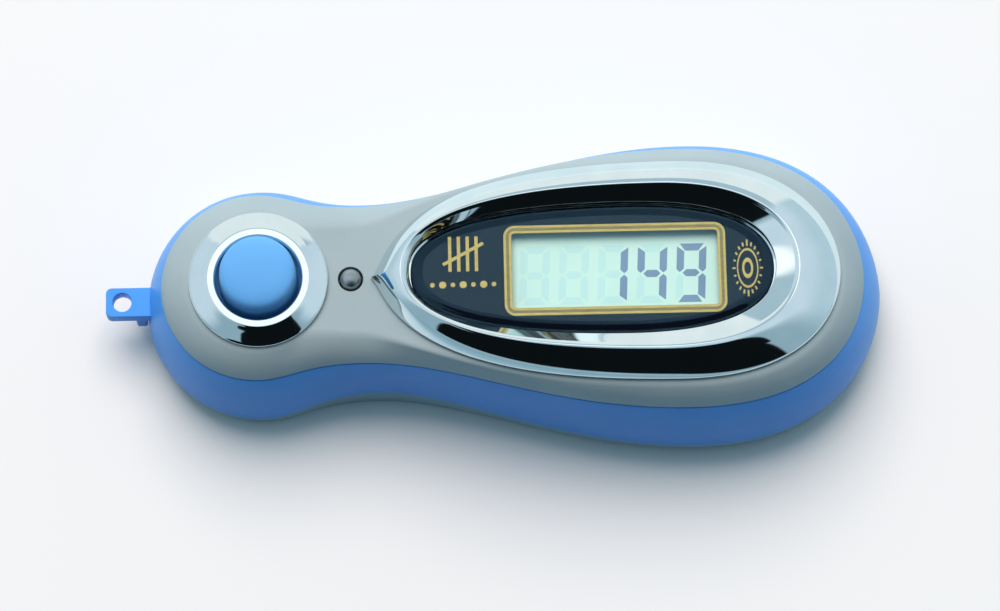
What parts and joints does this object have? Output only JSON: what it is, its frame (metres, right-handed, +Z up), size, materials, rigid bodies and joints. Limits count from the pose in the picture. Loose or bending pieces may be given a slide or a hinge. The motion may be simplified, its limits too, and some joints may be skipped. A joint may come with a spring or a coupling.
{
  "type": "hand tally counter",
  "caption": "Pocket electronic tally counter with a gourd-shaped case, a digital display, a count button, a small reset button and a lanyard tab.",
  "frame": {"origin": "centre of the overall box in plan, on the surface that the case lies on", "axes": "+X along the length from the lanyard tab to the display end, +Y across to the back, +Z up out of the display face"},
  "size_m": [0.1, 0.0396, 0.0212],
  "materials": {
    "grey_plastic": "satin moulded ABS",
    "blue_plastic": "satin moulded ABS",
    "blue_button": "satin moulded ABS",
    "gunmetal_button": "glossy dark grey",
    "chrome": "bright chrome plate on ABS",
    "clear_lens": "clear acrylic, dark print on its back with a clear window",
    "adhesive": "double-sided tape",
    "display_glass": "reflective liquid-crystal panel, pale green",
    "white_plastic": "moulded, matt",
    "black_rubber": "layered conductive silicone",
    "board_laminate": "solder-masked laminate",
    "epoxy": "cured potting epoxy",
    "ceramic_black": "glazed chip resistor",
    "ceramic_tan": "chip capacitor ceramic",
    "switch_plastic": "moulded, matt",
    "sheet_steel": "thin plated spring sheet",
    "cell_steel": "pressed steel can",
    "screw_steel": "zinc-plated steel"
  },
  "bodies": {
    "case": {"top_shell": "grey_plastic", "side_band": "blue_plastic", "bottom_shell": "grey_plastic", "lanyard_tab": "blue_plastic", "display_bezel": "chrome", "display_lens": "clear_lens", "lens_adhesive": "adhesive", "display_panel": "display_glass", "display_holder": "white_plastic", "zebra_strip_front": "black_rubber", "zebra_strip_rear": "black_rubber", "circuit_board": "board_laminate", "chip_blob": "epoxy", "chip_resistor": "ceramic_black", "chip_capacitor": "ceramic_tan", "button_ring": "chrome", "count_switch_base": "switch_plastic", "count_switch_cover": "sheet_steel", "count_switch_dome": "sheet_steel", "reset_switch_base": "switch_plastic", "reset_switch_cover": "sheet_steel", "reset_switch_dome": "sheet_steel", "button_cell": "cell_steel", "cell_contact_positive": "sheet_steel", "cell_contact_negative": "sheet_steel", "case_screw_1": "screw_steel", "case_screw_2": "screw_steel", "case_screw_3": "screw_steel", "case_screw_4": "screw_steel", "board_screw_1": "screw_steel", "board_screw_2": "screw_steel", "board_screw_3": "screw_steel", "board_screw_4": "screw_steel"},
    "count_button": {"count_button": "blue_button"},
    "count_plunger": {"count_switch_plunger": "switch_plastic"},
    "reset_button": {"reset_button": "gunmetal_button"},
    "reset_plunger": {"reset_switch_plunger": "switch_plastic"},
    "battery_cap": {"battery_cap": "grey_plastic"}
  },
  "joints": [
    {"name": "count_press", "type": "slide", "parent": "case", "child": "count_button", "axis": [0, 0, -1], "range_m": [0, 0.00075], "stiffness_N_per_m": 700, "springref_m": -0.0005},
    {"name": "count_plunger_press", "type": "slide", "parent": "case", "child": "count_plunger", "axis": [0, 0, -1], "range_m": [0, 0.00075], "deforming": ["count_switch_dome"]},
    {"name": "reset_press", "type": "slide", "parent": "case", "child": "reset_button", "axis": [0, 0, -1], "range_m": [0, 0.0004], "stiffness_N_per_m": 900, "springref_m": -0.0005},
    {"name": "reset_plunger_press", "type": "slide", "parent": "case", "child": "reset_plunger", "axis": [0, 0, -1], "range_m": [0, 0.0004], "deforming": ["reset_switch_dome"]},
    {"name": "battery_cap_turn", "type": "hinge", "parent": "case", "child": "battery_cap", "pos_m": [0.02, 0, 0.001], "axis": [0, 0, -1], "range_deg": [0, 50]}
  ],
  "couplings": [
    {"joint": "count_plunger_press", "follows": "count_press", "ratio": 1},
    {"joint": "reset_plunger_press", "follows": "reset_press", "ratio": 1}
  ]
}
